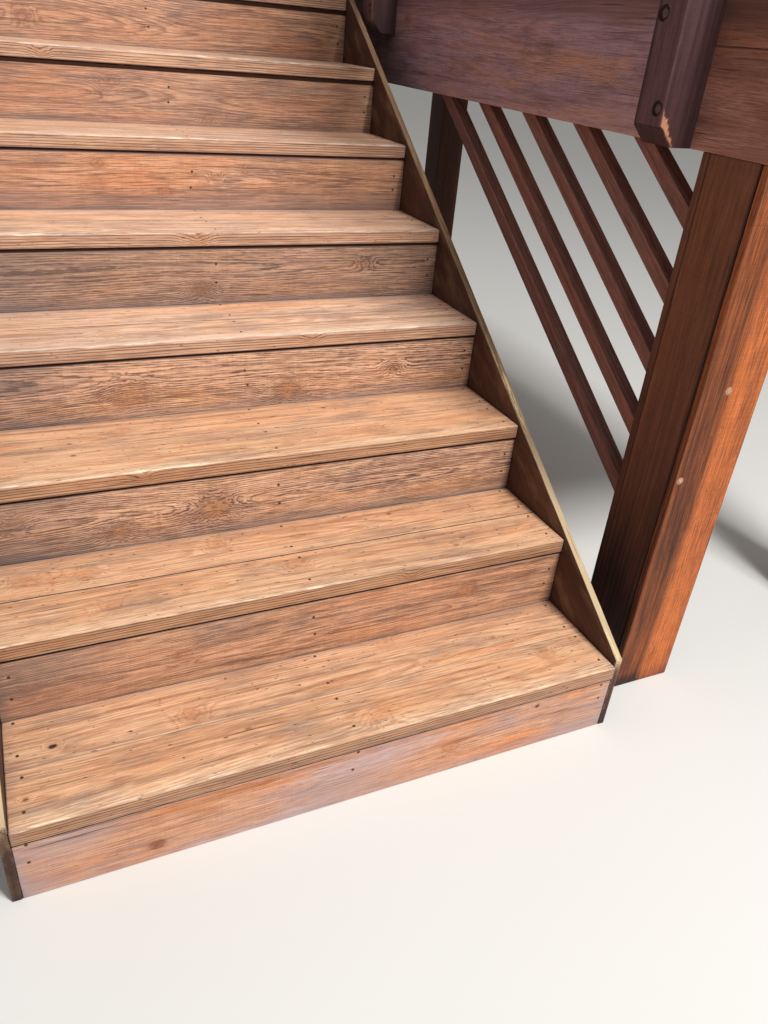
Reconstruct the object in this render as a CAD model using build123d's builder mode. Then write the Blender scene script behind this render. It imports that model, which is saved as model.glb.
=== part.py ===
from build123d import *
import math
import os

# Wooden deck stairs: a closed flight of steps between two skirt boards, climbing to the upper
# deck, whose edge frame, posts and guard run along the right side of the flight.
# Millimetres, +Z up, +Y up the flight, +X to the right of someone climbing.
# The origin is the middle of the underside of the foot plate that the carriages stand on.

# Lumber
plank_thick = 38.0
thin_thick = 19.0
tread_board_width = 140.0
rim_board_width = 184.0
wide_board_width = 286.0
narrow_board_width = 89.0
post_side = 140.0
rail_post_side = 89.0
eased_edge = 2.5
tread_edge_radius = 4.0
butt_gap = 2.0

# Flight
rise = 191.0
riser_count = 9
flight_width = 1330.0
nosing = 5.0
tread_board_gap = 2.0
skirt_lip = 12.0
carriage_count = 3

# Upper deck beside and above the flight
rim_to_skirt = 105.0
rim_height = 391.0
post_set_back = 97.0
side_deck_boards = 7
landing_deck_boards = 10
deck_board_gap = 3.0
deck_overhang = 15.0
landing_depth = 900.0
side_joist_count = 7
landing_joist_count = 2
casing_joint = 1.0

# Sloping slats between the front post and the rim
slat_side = 38.0
slat_gap = 97.0
slat_count = 5
slat_above_skirt = 51.0
slat_lap = 120.0

# Rail posts bolted to the rim, and the guard between them
near_post_from_front = 313.0
far_post_before_header = 440.0
near_post_drop = 391.0
far_post_drop = 245.0
foot_bevel = 38.0
post_arris = 6.0
guard_height = 1067.0
cap_end_overhang = 140.0
lower_rail_lift = 90.0
bolt_pocket_radius = 15.0
bolt_pocket_depth = 9.0
bolt_edge_distance = 24.0
lower_bolt_up = 68.0
bolt_spacing = 162.0

# Flight geometry
tread_count = riser_count - 1
tread_depth = 2 * tread_board_width + tread_board_gap
going = tread_depth - nosing
slope = rise / going
slope_cos = math.cos(math.atan(slope))
flight_front = -(thin_thick + narrow_board_width / 2)
half_flight = flight_width / 2
skirt_face = half_flight + thin_thick
header_front = flight_front + tread_count * going + thin_thick

# Deck geometry
deck_top = riser_count * rise
frame_top = deck_top - plank_thick
frame_bottom = frame_top - rim_height
rim_face = skirt_face + rim_to_skirt
side_deck_width = side_deck_boards * (tread_board_width + deck_board_gap) - deck_board_gap
deck_right = rim_face + side_deck_width
deck_front = flight_front + post_set_back
deck_back = header_front + landing_depth
cased_side = post_side + 2 * thin_thick
guard_top = deck_top + guard_height - plank_thick


def riser_front(step):
    return flight_front + (step - 1) * going


def seat_height(step):
    return step * rise - plank_thick


def nosing_line(y):
    # height of the line through the upper front edges of the treads
    return rise + slope * (y - flight_front + nosing)


def plank(plane, centre, width, height, length, edge):
    # a straight board: its section is drawn on the plane, and edge is the chamfer of its corners
    with BuildSketch(plane) as section:
        with Locations(centre):
            Rectangle(width, height)
        if edge:
            chamfer(section.vertices(), edge)
    extrude(section.sketch, amount=length)


def plank_along_x(x_low, x_high, y_low, y_high, z_low, z_high, edge=eased_edge):
    centre = ((y_low + y_high) / 2, (z_low + z_high) / 2)
    plank(Plane.YZ.offset(x_low), centre, y_high - y_low, z_high - z_low, x_high - x_low, edge)


def plank_along_y(x_low, x_high, y_low, y_high, z_low, z_high, edge=eased_edge):
    centre = ((x_low + x_high) / 2, (z_low + z_high) / 2)
    plank(Plane.XZ.offset(-y_low), centre, x_high - x_low, z_high - z_low, y_low - y_high, edge)


def plank_along_z(x_low, x_high, y_low, y_high, z_low, z_high, edge=eased_edge):
    centre = ((x_low + x_high) / 2, (y_low + y_high) / 2)
    plank(Plane.XY.offset(z_low), centre, x_high - x_low, y_high - y_low, z_high - z_low, edge)


def side_profile(x_low, thickness, points):
    # a board cut to an outline in the side view, given as (y, z) points
    with BuildSketch(Plane.YZ.offset(x_low)) as section:
        with BuildLine():
            Polyline(*points, close=True)
        make_face()
    extrude(section.sketch, amount=thickness)


def save(piece, name):
    piece.part.label = name
    export_step(piece.part, f"parts/{name}.step")


os.makedirs("parts", exist_ok=True)

# Treads: two boards on the flat, running between the skirts and touching the riser behind
for step in range(1, tread_count + 1):
    middle = (riser_front(step) - nosing + tread_depth / 2, seat_height(step) + plank_thick / 2)
    with BuildPart() as tread:
        with BuildSketch(Plane.YZ.offset(-half_flight)) as section:
            with Locations(middle):
                with GridLocations(tread_board_width + tread_board_gap, 0, 2, 1):
                    Rectangle(tread_board_width, plank_thick)
            fillet(section.vertices(), tread_edge_radius)
        extrude(amount=flight_width)
    save(tread, f"tread_{step}")

# Risers: thin boards standing behind the tread below and closing up under the tread above
for step in range(1, riser_count + 1):
    low = 0.0 if step == 1 else seat_height(step - 1)
    with BuildPart() as riser:
        plank_along_x(-half_flight, half_flight, riser_front(step), riser_front(step) + thin_thick,
                      low, seat_height(step))
    save(riser, f"riser_{step}")

# Foot plate: a board on the flat behind the lowest riser, let into the feet of the carriages
with BuildPart() as foot_plate:
    plank_along_x(-half_flight, half_flight, -narrow_board_width / 2, narrow_board_width / 2,
                  0.0, plank_thick, edge=0)
save(foot_plate, "foot_plate")

# Carriages: wide boards sawn to a seat and a plumb face for every step
tooth_drop = plank_thick + slope * (thin_thick + nosing)
carriage_drop = tooth_drop + wide_board_width / slope_cos
carriage_foot_back = flight_front - nosing + (carriage_drop - rise) / slope
carriage_outline = [
    (narrow_board_width / 2, 0.0),
    (narrow_board_width / 2, plank_thick),
    (-narrow_board_width / 2, plank_thick),
]
for step in range(1, riser_count):
    carriage_outline.append((riser_front(step) + thin_thick, seat_height(step)))
    carriage_outline.append((riser_front(step + 1) + thin_thick, seat_height(step)))
carriage_outline.append((header_front, nosing_line(header_front) - carriage_drop))
carriage_outline.append((carriage_foot_back, 0.0))
carriage_spacing = (flight_width - plank_thick) / (carriage_count - 1)

with BuildPart() as outer_carriages:
    for x_low in (-half_flight, half_flight - plank_thick):
        side_profile(x_low, plank_thick, carriage_outline)
save(outer_carriages, "outer_carriages")

with BuildPart() as middle_carriages:
    for index in range(1, carriage_count - 1):
        side_profile(-half_flight + index * carriage_spacing, plank_thick, carriage_outline)
save(middle_carriages, "middle_carriages")

# Skirts: thin wide boards outside the treads, standing a lip above the nosings, cut plumb
# at the lowest riser and let in under the deck boards at the top
skirt_depth = wide_board_width / slope_cos
skirt_foot_back = flight_front - nosing + (skirt_depth - skirt_lip - rise) / slope
landing_nose = riser_front(riser_count) - nosing
skirt_outline = [
    (flight_front, 0.0),
    (flight_front, nosing_line(flight_front) + skirt_lip),
    (landing_nose, nosing_line(landing_nose) + skirt_lip),
    (landing_nose, frame_top),
    (header_front, frame_top),
    (header_front, nosing_line(header_front) + skirt_lip - skirt_depth),
    (skirt_foot_back, 0.0),
]
for side, x_low in (("left", -skirt_face), ("right", half_flight)):
    with BuildPart() as skirt:
        side_profile(x_low, thin_thick, skirt_outline)
    save(skirt, f"skirt_{side}")

# Rim boards: each side of the deck frame is two boards stacked on edge
lower_rim = (frame_bottom, frame_bottom + rim_board_width - butt_gap / 2)
upper_rim = (frame_bottom + rim_board_width + butt_gap / 2, frame_top)
rim_joint = deck_front - post_set_back + near_post_from_front + rail_post_side / 2

with BuildPart() as side_rim_front:
    for low, high in (lower_rim, upper_rim):
        plank_along_y(rim_face, rim_face + plank_thick, deck_front, rim_joint - butt_gap, low, high)
save(side_rim_front, "side_rim_front")

with BuildPart() as side_rim_back:
    wide_top = frame_bottom + wide_board_width
    for low, high in ((frame_bottom, wide_top), (wide_top + butt_gap, frame_top)):
        plank_along_y(rim_face, rim_face + plank_thick, rim_joint, deck_back - plank_thick, low, high)
save(side_rim_back, "side_rim_back")

with BuildPart() as outer_rim:
    for low, high in (lower_rim, upper_rim):
        plank_along_y(deck_right - plank_thick, deck_right, deck_front, deck_back - plank_thick, low, high)
save(outer_rim, "outer_rim")

with BuildPart() as front_rim:
    for low, high in (lower_rim, upper_rim):
        plank_along_x(rim_face + plank_thick, deck_right - plank_thick,
                      deck_front, deck_front + plank_thick, low, high)
save(front_rim, "front_rim")

with BuildPart() as landing_header:
    for low, high in (lower_rim, upper_rim):
        plank_along_x(-skirt_face + plank_thick, rim_face, header_front, header_front + plank_thick,
                      low, high)
save(landing_header, "landing_header")

with BuildPart() as left_rim:
    for low, high in (lower_rim, upper_rim):
        plank_along_y(-skirt_face, -skirt_face + plank_thick, header_front, deck_back - plank_thick,
                      low, high)
save(left_rim, "left_rim")

with BuildPart() as back_rim:
    for low, high in (lower_rim, upper_rim):
        plank_along_x(-skirt_face, deck_right, deck_back - plank_thick, deck_back, low, high)
save(back_rim, "back_rim")

# Joists: boards on edge between the rims, under the deck boards
joist_bottom = frame_top - rim_board_width
side_joist_pitch = (deck_back - deck_front - plank_thick) / (side_joist_count + 1)
with BuildPart() as side_joists:
    for index in range(1, side_joist_count + 1):
        y_low = deck_front + index * side_joist_pitch
        plank_along_x(rim_face + plank_thick, deck_right - plank_thick,
                      y_low, y_low + plank_thick, joist_bottom, frame_top, edge=0)
save(side_joists, "side_joists")

landing_joist_pitch = (landing_depth - plank_thick) / (landing_joist_count + 1)
with BuildPart() as landing_joists:
    for index in range(1, landing_joist_count + 1):
        y_low = header_front + index * landing_joist_pitch
        plank_along_x(-skirt_face + plank_thick, rim_face, y_low, y_low + plank_thick,
                      joist_bottom, frame_top, edge=0)
save(landing_joists, "landing_joists")

# Deck boards: all run the way the flight climbs
with BuildPart() as side_deck:
    for index in range(side_deck_boards):
        x_low = rim_face + index * (tread_board_width + deck_board_gap)
        plank_along_y(x_low, x_low + tread_board_width, deck_front - deck_overhang,
                      deck_back + deck_overhang, frame_top, deck_top)
save(side_deck, "side_deck_boards")

landing_board_pitch = (rim_face + skirt_face) / landing_deck_boards
with BuildPart() as landing_deck:
    for index in range(landing_deck_boards):
        x_low = -skirt_face + index * landing_board_pitch
        plank_along_y(x_low, x_low + landing_board_pitch - deck_board_gap, landing_nose,
                      deck_back + deck_overhang, frame_top, deck_top)
save(landing_deck, "landing_deck_boards")

# Posts: square timbers from the floor to the underside of the frame
cased_centres = {
    "front_inner": (rim_face + cased_side / 2, deck_front + cased_side / 2),
    "front_outer": (deck_right - cased_side / 2, deck_front + cased_side / 2),
}
plain_centres = {
    "header_inner": (rim_face + plank_thick / 2, header_front + post_side / 2),
    "header_left": (-skirt_face + post_side / 2, header_front + post_side / 2),
    "back_left": (-skirt_face + post_side / 2, deck_back - post_side / 2),
    "back_outer": (deck_right - post_side / 2, deck_back - post_side / 2),
}
for place, (x_mid, y_mid) in {**cased_centres, **plain_centres}.items():
    with BuildPart() as post:
        plank_along_z(x_mid - post_side / 2, x_mid + post_side / 2,
                      y_mid - post_side / 2, y_mid + post_side / 2, 0.0, frame_bottom)
    save(post, f"{place}_post")

# Casings: the front and back boards lap over the edges of the two side boards
with BuildPart() as casings:
    for x_mid, y_mid in cased_centres.values():
        for y_low in (y_mid - cased_side / 2, y_mid + post_side / 2):
            plank_along_z(x_mid - cased_side / 2, x_mid + cased_side / 2,
                          y_low, y_low + thin_thick, 0.0, frame_bottom)
        for x_low in (x_mid - cased_side / 2, x_mid + post_side / 2):
            plank_along_z(x_low, x_low + thin_thick, y_mid - post_side / 2 + casing_joint,
                          y_mid + post_side / 2 - casing_joint, 0.0, frame_bottom)
save(casings, "front_post_casings")

# Slats: square bars parallel to the flight, from the back of the front post up behind the rim
slat_foot = deck_front + cased_side
slat_pitch = (slat_side + slat_gap) / slope_cos
with BuildPart() as slats:
    for index in range(slat_count):
        rise_at_foot = nosing_line(slat_foot) + skirt_lip + slat_above_skirt + index * slat_pitch
        slat_top = frame_bottom + slat_lap
        lower_run = (slat_top - rise_at_foot) / slope
        upper_run = lower_run - slat_side / slope_cos / slope
        side_profile(rim_face + plank_thick, slat_side, [
            (slat_foot, rise_at_foot),
            (slat_foot + lower_run, slat_top),
            (slat_foot + upper_run, slat_top),
            (slat_foot, rise_at_foot + slat_side / slope_cos),
        ])
save(slats, "sloping_slats")

# Rail posts: bolted to the face of the rim, with a sloping cut at the foot and two pockets
# for the bolt heads, one near each edge
rail_post_spots = {
    "near": (flight_front + near_post_from_front, near_post_drop),
    "far": (header_front - far_post_before_header, far_post_drop),
}
for place, (y_low, drop) in rail_post_spots.items():
    foot = frame_top - drop
    with BuildPart() as rail_post:
        with BuildSketch(Plane.XZ.offset(-y_low)):
            with BuildLine():
                Polyline(
                    (rim_face, foot),
                    (rim_face, guard_top),
                    (rim_face - rail_post_side, guard_top),
                    (rim_face - rail_post_side, foot + foot_bevel),
                    (rim_face - rail_post_side + foot_bevel, foot),
                    close=True,
                )
            make_face()
        extrude(amount=-rail_post_side)
        outer_arrises = rail_post.edges().filter_by(Axis.Z).group_by(Axis.X)[0]
        chamfer(outer_arrises, post_arris)
        with BuildSketch(Plane.YZ.offset(rim_face - rail_post_side)):
            with Locations(
                (y_low + bolt_edge_distance, foot + lower_bolt_up),
                (y_low + rail_post_side - bolt_edge_distance, foot + lower_bolt_up + bolt_spacing),
            ):
                Circle(bolt_pocket_radius)
        extrude(amount=bolt_pocket_depth, mode=Mode.SUBTRACT)
    save(rail_post, f"rail_post_{place}")

# Guard: two rails on edge between the rail posts, square balusters, and a cap board on top
rail_mid = rim_face - rail_post_side / 2
guard_start = rail_post_spots["near"][0] + rail_post_side
guard_end = rail_post_spots["far"][0]
rail_rows = (deck_top + lower_rail_lift, guard_top - narrow_board_width)
baluster_low = rail_rows[0] + narrow_board_width
baluster_count = round((guard_end - guard_start) / (slat_side + slat_gap)) - 1
baluster_pitch = (guard_end - guard_start) / (baluster_count + 1)
with BuildPart() as guard:
    for z_low in rail_rows:
        plank_along_y(rail_mid - plank_thick / 2, rail_mid + plank_thick / 2,
                      guard_start, guard_end, z_low, z_low + narrow_board_width)
    with BuildSketch(Plane.XY.offset(baluster_low - eased_edge)):
        with Locations((rail_mid, (guard_start + guard_end) / 2)):
            with GridLocations(0, baluster_pitch, 1, baluster_count):
                Rectangle(slat_side - 2 * eased_edge, slat_side)
    extrude(amount=rail_rows[1] - baluster_low + 2 * eased_edge)
save(guard, "guard_balusters")

with BuildPart() as cap_rail:
    plank_along_y(rail_mid - tread_board_width / 2, rail_mid + tread_board_width / 2,
                  rail_post_spots["near"][0] - cap_end_overhang,
                  guard_end + rail_post_side + cap_end_overhang, guard_top, guard_top + plank_thick)
save(cap_rail, "cap_rail")
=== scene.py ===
import math

import bmesh
import bpy
import numpy as np
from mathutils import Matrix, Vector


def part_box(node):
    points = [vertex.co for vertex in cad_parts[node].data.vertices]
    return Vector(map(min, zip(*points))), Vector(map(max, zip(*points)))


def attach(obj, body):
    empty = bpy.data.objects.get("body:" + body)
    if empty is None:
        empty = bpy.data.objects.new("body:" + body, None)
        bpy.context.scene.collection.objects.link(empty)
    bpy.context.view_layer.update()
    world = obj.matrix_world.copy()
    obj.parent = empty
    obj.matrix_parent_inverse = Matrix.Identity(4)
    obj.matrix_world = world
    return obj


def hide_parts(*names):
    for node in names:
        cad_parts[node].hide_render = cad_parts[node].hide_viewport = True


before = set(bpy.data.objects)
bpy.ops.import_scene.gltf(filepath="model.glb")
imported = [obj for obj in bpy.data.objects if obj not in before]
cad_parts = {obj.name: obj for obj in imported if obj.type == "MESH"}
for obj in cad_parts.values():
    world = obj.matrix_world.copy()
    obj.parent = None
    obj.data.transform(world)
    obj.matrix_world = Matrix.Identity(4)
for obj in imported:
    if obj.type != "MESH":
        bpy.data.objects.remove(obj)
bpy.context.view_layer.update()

# Lumber, in metres
PLANK = 0.038
THIN = 0.019
WIDE_BOARD = 0.286
RIM_BOARD = 0.184
RAIL = 0.089
SLAT = 0.038
CASED_SIDE = 0.178
EASED = 0.0025
TREAD_EDGE = 0.004

# Joints, gaps and cuts
DECK_GAP = 0.003
RIM_JOINT = 0.002
CASING_STEP = 0.002
SLAT_GAP = 0.097
BALUSTER_PITCH = 0.135
SKIRT_LIP = 0.012
FOOT_BEVEL = 0.038
POCKET_DEPTH = 0.009
POCKET_FROM_EDGE = 0.024
POCKETS_UP = (0.068, 0.230)

# Flight
TREADS = 8
RISERS = 9
RISE = 0.191
GOING = 0.277
SLOPE = RISE / GOING
LEAN = math.atan(SLOPE)
CARRIAGES_X = (-0.642, 0.0, 0.642)


def paint(code):
    """An sRGB hex code as linear red, green, blue, alpha: ((c + 0.055) / 1.055) ** 2.4 above
    0.04045, else c / 12.92."""
    channels = [int(code[i:i + 2], 16) / 255 for i in (1, 3, 5)]
    return [((c + 0.055) / 1.055) ** 2.4 if c > 0.04045 else c / 12.92 for c in channels] + [1.0]


# the field that a node's mode goes to, where it isn't its operation
MODE = {"Mix": "data_type", "MapRange": "interpolation_type"}


def add(tree, kind, inputs=None, out=0):
    """Adds one shader node and gives back one of its outputs, or the node itself where out is
    None. A second word of kind is its mode. Inputs go to its own fields or its sockets, where an
    output of another node is linked; stops fill a colour ramp, span a map's from and to."""
    kind, _, mode = kind.partition(" ")
    node = tree.nodes.new("ShaderNode" + kind)
    if mode:
        setattr(node, MODE.get(kind, "operation"), mode)
    for key, value in (inputs or {}).items():
        if isinstance(value, bpy.types.NodeSocket):
            tree.links.new(value, node.inputs[key])
        elif key == "stops":
            ramp = node.color_ramp
            while len(ramp.elements) < len(value):
                ramp.elements.new(0.5)
            for stop, (place, level) in zip(ramp.elements, value):
                stop.position = place
                stop.color = (level, level, level, 1.0)
        elif key == "span":
            for number, end in enumerate(value, 1):
                node.inputs[number].default_value = end
        elif isinstance(key, str) and hasattr(node, key):
            setattr(node, key, value)
        else:
            node.inputs[key].default_value = value
    return node if out is None else node.outputs[out]


def bare_material(name):
    """A new material with an empty node tree, and that tree."""
    material = bpy.data.materials.new(name)
    material.use_nodes = True
    material.node_tree.nodes.clear()
    return material, material.node_tree


# Woods. Every board carries four attributes: "grain" is the place in its own log, in metres
# (x with the fibres, y across the face, z away from the pith), "knot" is the way to the nearest
# knot in knot radii with its strength as z, the third, named for the finish, holds the board's
# tone, its wear with painted light and its grime with painted shade (0 to 1 for splash, grey and
# painted shade, up to 2 where dirt is packed in a joint or a black line of painted shade lies),
# and "edge" is 1 on the two narrow sides.

OLD_DIRT = "#4a3027"
# packed dirt, also the colour of the black lines of painted shade under the treads' noses
PACKED_DIRT_AND_SHADE = "#3a2116"
KNOT_CORE = "#402a20"
OPEN_CHECK = "#1c100b"
CHECK_STRENGTH = 0.6
RIDGE_PITCH = 0.0066


def wood(name, early, late, dark, grey, pale, warm, ring=0.004, saw=0.25, rough=0.62,
         contrast=0.6, patches=0.45, flecks=0.35, specks=0.3, ridges=0.0, spread=0.10,
         polish=0.35, streaks=0.85, blooms=0.6, ragged=0.5):
    """Wood cut from a round log: rings repeat along r = sqrt(y^2 + z^2) + taper * x, bent by
    noise and, round a knot at distance d, pushed out by exp(-d^2 / 3).

    The six colours are early and late wood, dark streaks, grey weathering (on the casings a dark
    painted shade), worn wood (also painted light) and warm stain. ring is a ring's width in
    metres and ragged how far fibres break its line. saw, contrast, patches, flecks, specks,
    streaks and blooms say how strongly saw marks, rings, grey patches, torn fibres, specks of
    dirt, dark streaks and warm patches show, ridges how deep the narrow sides are grooved, and
    spread how far the boards differ in tone."""
    light = [min(1.0, 1.35 * c) for c in paint(early)]
    material, tree = bare_material(name)
    place, knot, finish = (add(tree, "Attribute", {"attribute_name": key}, "Vector")
                           for key in ("grain", "knot", "finish"))
    narrow = add(tree, "Attribute", {"attribute_name": "edge"}, "Fac")
    tone, wear_and_light, grime_and_shade = add(tree, "SeparateXYZ", {0: finish}, None).outputs
    along, _, through = add(tree, "SeparateXYZ", {0: place}, None).outputs
    strength = add(tree, "SeparateXYZ", {0: knot}, "Z")

    # knots: an uneven oval a few times the branch's width, round which the wood swells
    oval = add(tree, "TexNoise", {"Vector": place, "Scale": 60.0, "Detail": 1.0}, "Color")
    oval = add(tree, "VectorMath MULTIPLY_ADD", {0: oval, 1: (1.2, 1.2, 0.0),
                                                 2: (-0.6, -0.6, 0.0)})
    knot = add(tree, "VectorMath MULTIPLY_ADD", {0: knot, 1: (1.0, 1.0, 0.0), 2: oval})
    off = add(tree, "VectorMath LENGTH", {0: knot}, "Value")
    swell = add(tree, "Math MULTIPLY", {0: off, 1: off})
    swell = add(tree, "Math MULTIPLY", {0: swell, 1: -0.3333})
    swell = add(tree, "Math EXPONENT", {0: swell})
    swell = add(tree, "Math MULTIPLY", {0: swell, 1: strength})

    # the log wanders a few centimetres over a metre
    slow = add(tree, "VectorMath MULTIPLY", {0: place, 1: (1.1, 5.0, 5.0)})
    slow = add(tree, "TexNoise", {"Vector": slow, "Scale": 1.0, "Detail": 1.0}, "Color")
    slow = add(tree, "VectorMath MULTIPLY_ADD", {0: slow, 1: (0.0, 0.045, 0.045),
                                                 2: (0.0, -0.022, -0.022)})
    bent = add(tree, "VectorMath ADD", {0: place, 1: slow})

    # Patterns are noise stretched with the fibres, so many to a metre along and across them.
    # The last two numbers are the noise's detail and roughness.
    patterns = {
        # the rings waver by their own width, and fibres fray them
        "waver": (place, 3.5, 60, 1, 0.5),
        "fray": (place, 42, 430, 1, 0.5),
        # fibres are 1 to 2 mm wide and many centimetres long, with broader streaks among them
        "fibre": (bent, 7, 520, 2, 0.5),
        "streak": (bent, 1.9, 75, 3, 0.6),
        # weather and stain lie in patches as wide as a hand
        "patch": (place, 5, 16, 3, 0.6),
        "bloom": (bent, 2.3, 11, 3, 0.65),
        # checks are hair-thin splits, saw marks stand across the board about 2 mm apart
        "check": (bent, 5, 210, 1, 0.5),
        "marks": (place, 480, 14, 1, 0.5),
        # torn fibres are a few centimetres long, vessels dark hairs as long as a hand is wide
        "torn": (bent, 24, 400, 3, 0.65),
        "hair": (bent, 9, 400, 1, 0.5),
        # specks of old dirt, 10 mm long
        "speck": (place, 55, 170, 1, 0.5),
    }
    for key, (source, length, width, detail, roughness) in list(patterns.items()):
        stretched = add(tree, "VectorMath MULTIPLY", {0: source, 1: (length, width, width)})
        patterns[key] = add(tree, "TexNoise", {"Vector": stretched, "Scale": 1.0,
                                               "Detail": detail, "Roughness": roughness})
    fibre, streak, patch, bloom, marks, torn, hair = (
        patterns[key] for key in ("fibre", "streak", "patch", "bloom", "marks", "torn", "hair"))

    # rings: the way from the pith, with the log's taper, the swelling, the waver and the fray
    around = add(tree, "VectorMath MULTIPLY", {0: bent, 1: (0.0, 1.0, 1.0)})
    radius = add(tree, "VectorMath LENGTH", {0: around}, "Value")
    for push, source in ((0.012, along), (0.022, swell), (0.9 * ring, patterns["waver"]),
                         (ring * ragged * flecks, patterns["fray"])):
        radius = add(tree, "Math MULTIPLY_ADD", {0: source, 1: push, 2: radius})
    turns = add(tree, "Math MULTIPLY", {0: radius, 1: 1.0 / ring})
    phase = add(tree, "Math FRACT", {0: turns})
    rings = add(tree, "ValToRGB", {"Fac": phase, "stops": [
        (0.0, 0.0), (0.50, 0.12), (0.80, 1.0), (0.92, 0.85), (1.0, 0.0)]})
    late_share = add(tree, "MapRange", {"Value": patch, "span": (
        0.3, 0.7, 0.5 * contrast, 1.4 * contrast)})
    late_share = add(tree, "Math MULTIPLY", {"use_clamp": True, 0: rings, 1: late_share})
    colour = add(tree, "Mix RGBA", {0: late_share, 6: paint(early), 7: paint(late)}, 2)

    # Layers: each lays its colour over the ones before it, from none where its pattern is at
    # the first level to the last number where it is at the second
    layers = {
        "warm patches": (paint(warm), bloom, 0.46, 0.70, blooms),
        "dark streaks": (paint(dark), streak, 0.47, 0.75, streaks),
        "grey patches": (paint(grey), patch, 0.50, 0.72, patches),
        "dark flecks": (paint(dark), torn, 0.53, 0.64, flecks),
        "pale flecks": (light, torn, 0.46, 0.34, flecks),
        "dark hairs": (paint(dark), hair, 0.58, 0.66, 1.2 * flecks),
        "pale hairs": (light, hair, 0.38, 0.30, 1.4 * flecks),
        "specks": (paint(OLD_DIRT), patterns["speck"], 0.715, 0.745, specks),
    }
    shares = {}
    for layer, (shade, pattern, start, full, most) in layers.items():
        shares[layer] = add(tree, "MapRange", {"Value": pattern, "span": (start, full, 0, most)})
        colour = add(tree, "Mix RGBA", {0: shares[layer], 6: colour, 7: shade}, 2)

    # a knot is warmer and darker wood, streaked by its own broken rings, and has no sharp edge
    turn = add(tree, "Math MULTIPLY_ADD", {0: torn, 1: 2.6, 2: off})
    turn = add(tree, "Math MULTIPLY_ADD", {0: streak, 1: 1.4, 2: turn})
    turn = add(tree, "Math FRACT", {0: turn})
    turn = add(tree, "ValToRGB", {"Fac": turn, "stops": [(0.0, 0.95), (0.45, 0.1), (1.0, 0.95)]})
    heart = add(tree, "Mix RGBA", {0: turn, 6: paint(warm), 7: paint(dark)}, 2)
    inside = add(tree, "MapRange SMOOTHSTEP", {"Value": off, "span": (1.7, 0.2)})
    inside = add(tree, "Math MULTIPLY", {0: inside, 1: strength})
    colour = add(tree, "Mix RGBA", {0: inside, 6: colour, 7: heart}, 2)
    halo = add(tree, "Math MULTIPLY", {0: off, 1: 0.4})
    halo = add(tree, "ValToRGB", {"Fac": halo, "stops": [
        (0.0, 0.0), (0.30, 0.0), (0.42, 0.45), (0.52, 0.2), (1.0, 0.0)]})
    halo = add(tree, "Math MULTIPLY", {0: halo, 1: strength})

    # on the narrow sides the rings come out as ridges, which part round a knot
    comb = add(tree, "Math MULTIPLY", {0: swell, 1: 3.2})
    comb = add(tree, "Math MULTIPLY_ADD", {0: streak, 1: 1.6, 2: comb})
    comb = add(tree, "Math MULTIPLY_ADD", {0: through, 1: 1 / RIDGE_PITCH, 2: comb})
    comb = add(tree, "Math FRACT", {0: comb})
    groove = add(tree, "ValToRGB", {"Fac": comb, "stops": [
        (0.0, 1.0), (0.17, 0.0), (0.74, 0.0), (0.93, 1.0)]})
    narrow = add(tree, "Math MULTIPLY", {0: narrow, 1: ridges})
    groove = add(tree, "Math MULTIPLY", {0: groove, 1: narrow})
    side_share = add(tree, "Math MULTIPLY", {0: narrow, 1: 0.42})
    for share, shade in ((halo, dark), (side_share, late)):
        colour = add(tree, "Mix RGBA", {0: share, 6: colour, 7: paint(shade)}, 2)

    # brightness: the fibres, times the board's tone, the fine lines that the saw has left across
    # the fibres, and the darker narrow sides with their grooves
    level = add(tree, "MapRange", {"Value": fibre, "span": (
        0.2, 0.8, 0.87 - 0.2 * flecks, 1.13 + 0.2 * flecks)})
    tint = add(tree, "MapRange", {"Value": tone, "span": (0, 1, 1 - spread, 1 + spread)})
    level = add(tree, "Math MULTIPLY", {0: level, 1: tint})
    for change, base, source in ((0.7 * saw, 1 - 0.35 * saw, marks), (-0.06, 1.0, narrow),
                                 (-0.72, 1.0, groove)):
        factor = add(tree, "Math MULTIPLY_ADD", {0: source, 1: change, 2: base})
        level = add(tree, "Math MULTIPLY", {0: level, 1: factor})
    colour = add(tree, "VectorMath SCALE", {0: colour, "Scale": level})

    # wear, and the painted light that rides on it, bleaches in blotches, least on the hard rings
    # and the torn fibres, and where it is above 0.85 the wood is raw
    blotch = add(tree, "MapRange", {"Value": bloom, "span": (0.42, 0.60, 0.1)})
    soft = add(tree, "Math MULTIPLY_ADD", {0: rings, 1: -0.55, 2: 1.0})
    whole = add(tree, "MapRange", {"Value": torn, "span": (0.60, 0.40, 0.15, 1.3)})
    worn_and_lit = wear_and_light
    for share in (blotch, soft, whole):
        worn_and_lit = add(tree, "Math MULTIPLY", {"use_clamp": True, 0: worn_and_lit, 1: share})
    raw = add(tree, "Math MULTIPLY_ADD", {"use_clamp": True, 0: wear_and_light, 1: 4.0, 2: -3.4})
    worn_and_lit = add(tree, "Math MAXIMUM", {0: worn_and_lit, 1: raw})

    # grime, and the painted shade that rides on it, greys the wood, and sits darkest in the rings
    # and hairs
    dirt_and_shade_share = add(tree, "MapRange", {"Value": streak, "span": (0.3, 0.62, 0.65, 1.1)})
    dirt_and_shade_share = add(tree, "Math MULTIPLY", {"use_clamp": True, 0: grime_and_shade, 1: dirt_and_shade_share})
    for share, shade in ((worn_and_lit, pale), (dirt_and_shade_share, grey)):
        colour = add(tree, "Mix RGBA", {0: share, 6: colour, 7: paint(shade)}, 2)
    line = add(tree, "Math MAXIMUM", {0: late_share, 1: shares["dark hairs"]})
    line = add(tree, "Math MULTIPLY_ADD", {0: line, 1: -0.6, 2: 0.14})
    line = add(tree, "Math MULTIPLY_ADD", {0: dirt_and_shade_share, 1: line, 2: 1.0})
    colour = add(tree, "VectorMath SCALE", {0: colour, "Scale": line})
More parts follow.
